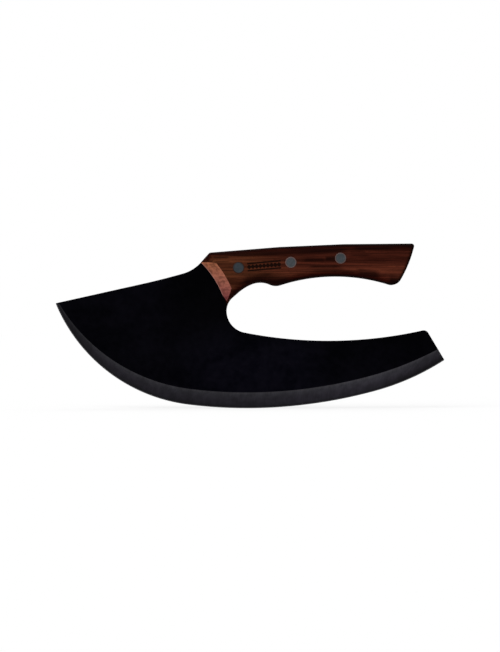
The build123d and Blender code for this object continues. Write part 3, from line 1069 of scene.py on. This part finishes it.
def rivetMaterial():
    # Dull aluminium: turning rings about the rivet's axis, a brighter rim, heads darkened by painted shade
    newMaterial("dullAluminium")
    radius, bright = stored("fromAxis"), stored("rimShade")
    rings, clouds = lineNoise([radius], *rivet["rings"]), grain(*rivet["clouds"])
    gain = times(remap(rings, *rivet["ringGain"]), remap(clouds, *rivet["cloudGain"]))
    # Painted shade by each rivet's brightness, most on the front one
    middle = multiplied(mixed(bright, rivet["shadedMiddle"], rivet["middle"]), gain)
    rim = mixed(bright, rivet["shadedRim"], rivet["rim"])
    onRim = remap(radius, rivet["rimStart"], rivet["rimStart"] + rivet["rimBlend"])
    return setShader(mixed(onRim, middle, rim), rivet["roughness"], rings,
                     rivet["relief"], rivet["gloss"], rivet["metal"])


def headProfile():
    # Radius and height from the middle of the face outwards: dished middle, raised rim, rounded edge
    radius, face, roundness = rivet["headRadius"], rivet["face"], rivet["edgeRound"]
    flat = np.linspace(0, radius - roundness, 24)
    blend = np.clip((flat - rivet["rimStart"]) / rivet["rimBlend"], 0, 1)
    height = face - rivet["dish"] * (1 - blend * blend * (3 - 2 * blend))
    turn = np.linspace(0, np.pi / 2, 7)[1:]
    radii = [*flat, *(radius - roundness * (1 - np.sin(turn))), radius]
    heights = [*height, *(face - roundness * (1 - np.cos(turn))), face - rivet["headThickness"]]
    return rowsOf(radii, heights)


def turned(name, profile, centre, side, material, rimShade):
    points, faces = lathe(profile, centre, side)
    piece = finishPiece(name, newMesh(name, points, faces), [material])
    addFloat(piece.data, "fromAxis", np.hypot(points[:, 0] - centre[0], points[:, 2] - centre[1]))
    addFloat(piece.data, "rimShade", np.full(len(points), rimShade))
    return piece


def makeRivet(place, head, material, rimShade):
    # Post with its head on the left, sleeve with its head on the right
    centre, under = rivetAxis(place), head[-1, 1]
    radius, nose, reach = rivet["postRadius"], rivet["nose"], rivet["postReach"]
    shank = [(radius, under), (radius, nose - reach), (radius - nose, -reach), (0, -reach)]
    post = turned(f"{place}RivetPost", np.vstack([head, shank]), centre, -1, material, rimShade)
    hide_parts(f"{place}_rivet_post")
    radius, bore, reach = rivet["sleeveRadius"], rivet["boreRadius"], rivet["sleeveReach"]
    tube = [(radius, under), (radius, -reach), (bore, -reach), (bore, under), (0, under)]
    sleeve = turned(f"{place}RivetSleeve", np.vstack([head, tube]), centre, 1, material, rimShade)
    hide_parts(f"{place}_rivet_sleeve")


rivetSteel = rivetMaterial()
for place, rimShade in rivet["brightness"].items():
    makeRivet(place, headProfile(), rivetSteel, rimShade)
print("rivets made")


# Stage, light and camera

stage = {
    "floorSize": 30.0,
    "worldLight": 0.42,
    "suns": {"keySun": (2.0, (-0.45, -0.62, 0.64)), "backSun": (0.8, (0.25, 0.45, 0.86))},
    "sunWidth": 50,  # degrees across, which softens the shadows
    "floorColour": (0.96, 0.96, 0.96, 1),
    "floorLift": 0.75,  # share of plain white that the camera sees on the floor
    "lens": 200.0,
    "photoHeight": 426.9 * mm,  # height of the picture at the blade
    "sensor": 36.0,
    "lookAt": (0.0, 0.0, 53.8 * mm),
}


def makeFloor():
    # Flat square at the height where the edge rests, lifted towards white for the camera
    half = stage["floorSize"] / 2
    points = [(-half, -half, 0), (half, -half, 0), (half, half, 0), (-half, half, 0)]
    mesh = newMesh("floor", points, [(0, 1, 2, 3)])
    nodes = newMaterial("paleFloor")
    shader = nodes["Principled BSDF"]
    connect(shader, {"Base Color": stage["floorColour"], "Roughness": 1.0, "Specular IOR Level": 0.0})
    glow = node("Emission", {"Color": (1, 1, 1, 1), "Strength": 1.0})
    seen = node("LightPath", output="Is Camera Ray")
    lift = times(seen, stage["floorLift"])
    both = node("MixShader", {0: lift, 1: shader.outputs[0], 2: glow})
    connect(nodes["Material Output"], {"Surface": both})
    mesh.materials.append(inHand["owner"])
    floor = newObject("floor", mesh)


def makeWorld():
    # White to look at, dimmer as a light
    world = bpy.context.scene.world = bpy.data.worlds.new("studio")
    nodes = takeInHand(world)
    seen = node("LightPath", output="Is Camera Ray")
    strength = remap(seen, 0, 1, stage["worldLight"], 1.0, smooth=False)
    connect(nodes["Background"], {"Color": (1, 1, 1, 1), "Strength": strength})


def makeSun(name, strength, source):
    lamp = bpy.data.lights.new(name, "SUN")
    lamp.energy = strength
    lamp.angle = radians(stage["sunWidth"])
    sun = newObject(name, lamp)
    sun.rotation_euler = Vector(source).to_track_quat("Z", "Y").to_euler()
    sun.location = Vector(source)


def makeCamera():
    # Level, square to the side of the blade, as far off as the lens needs
    data = bpy.data.cameras.new("camera")
    data.lens = stage["lens"]
    data.sensor_width = stage["sensor"]
    data.clip_end = 100
    camera = newObject("camera", data)
    distance = stage["lens"] / stage["sensor"] * stage["photoHeight"]
    x, y, z = stage["lookAt"]
    camera.location = (x, y - distance, z)
    camera.rotation_euler = (radians(90), 0, 0)
    bpy.context.scene.camera = camera


makeFloor()
makeWorld()
for name, (strength, source) in stage["suns"].items():
    makeSun(name, strength, source)
makeCamera()
bpy.context.scene.view_settings.view_transform = "Standard"
print("stage made")
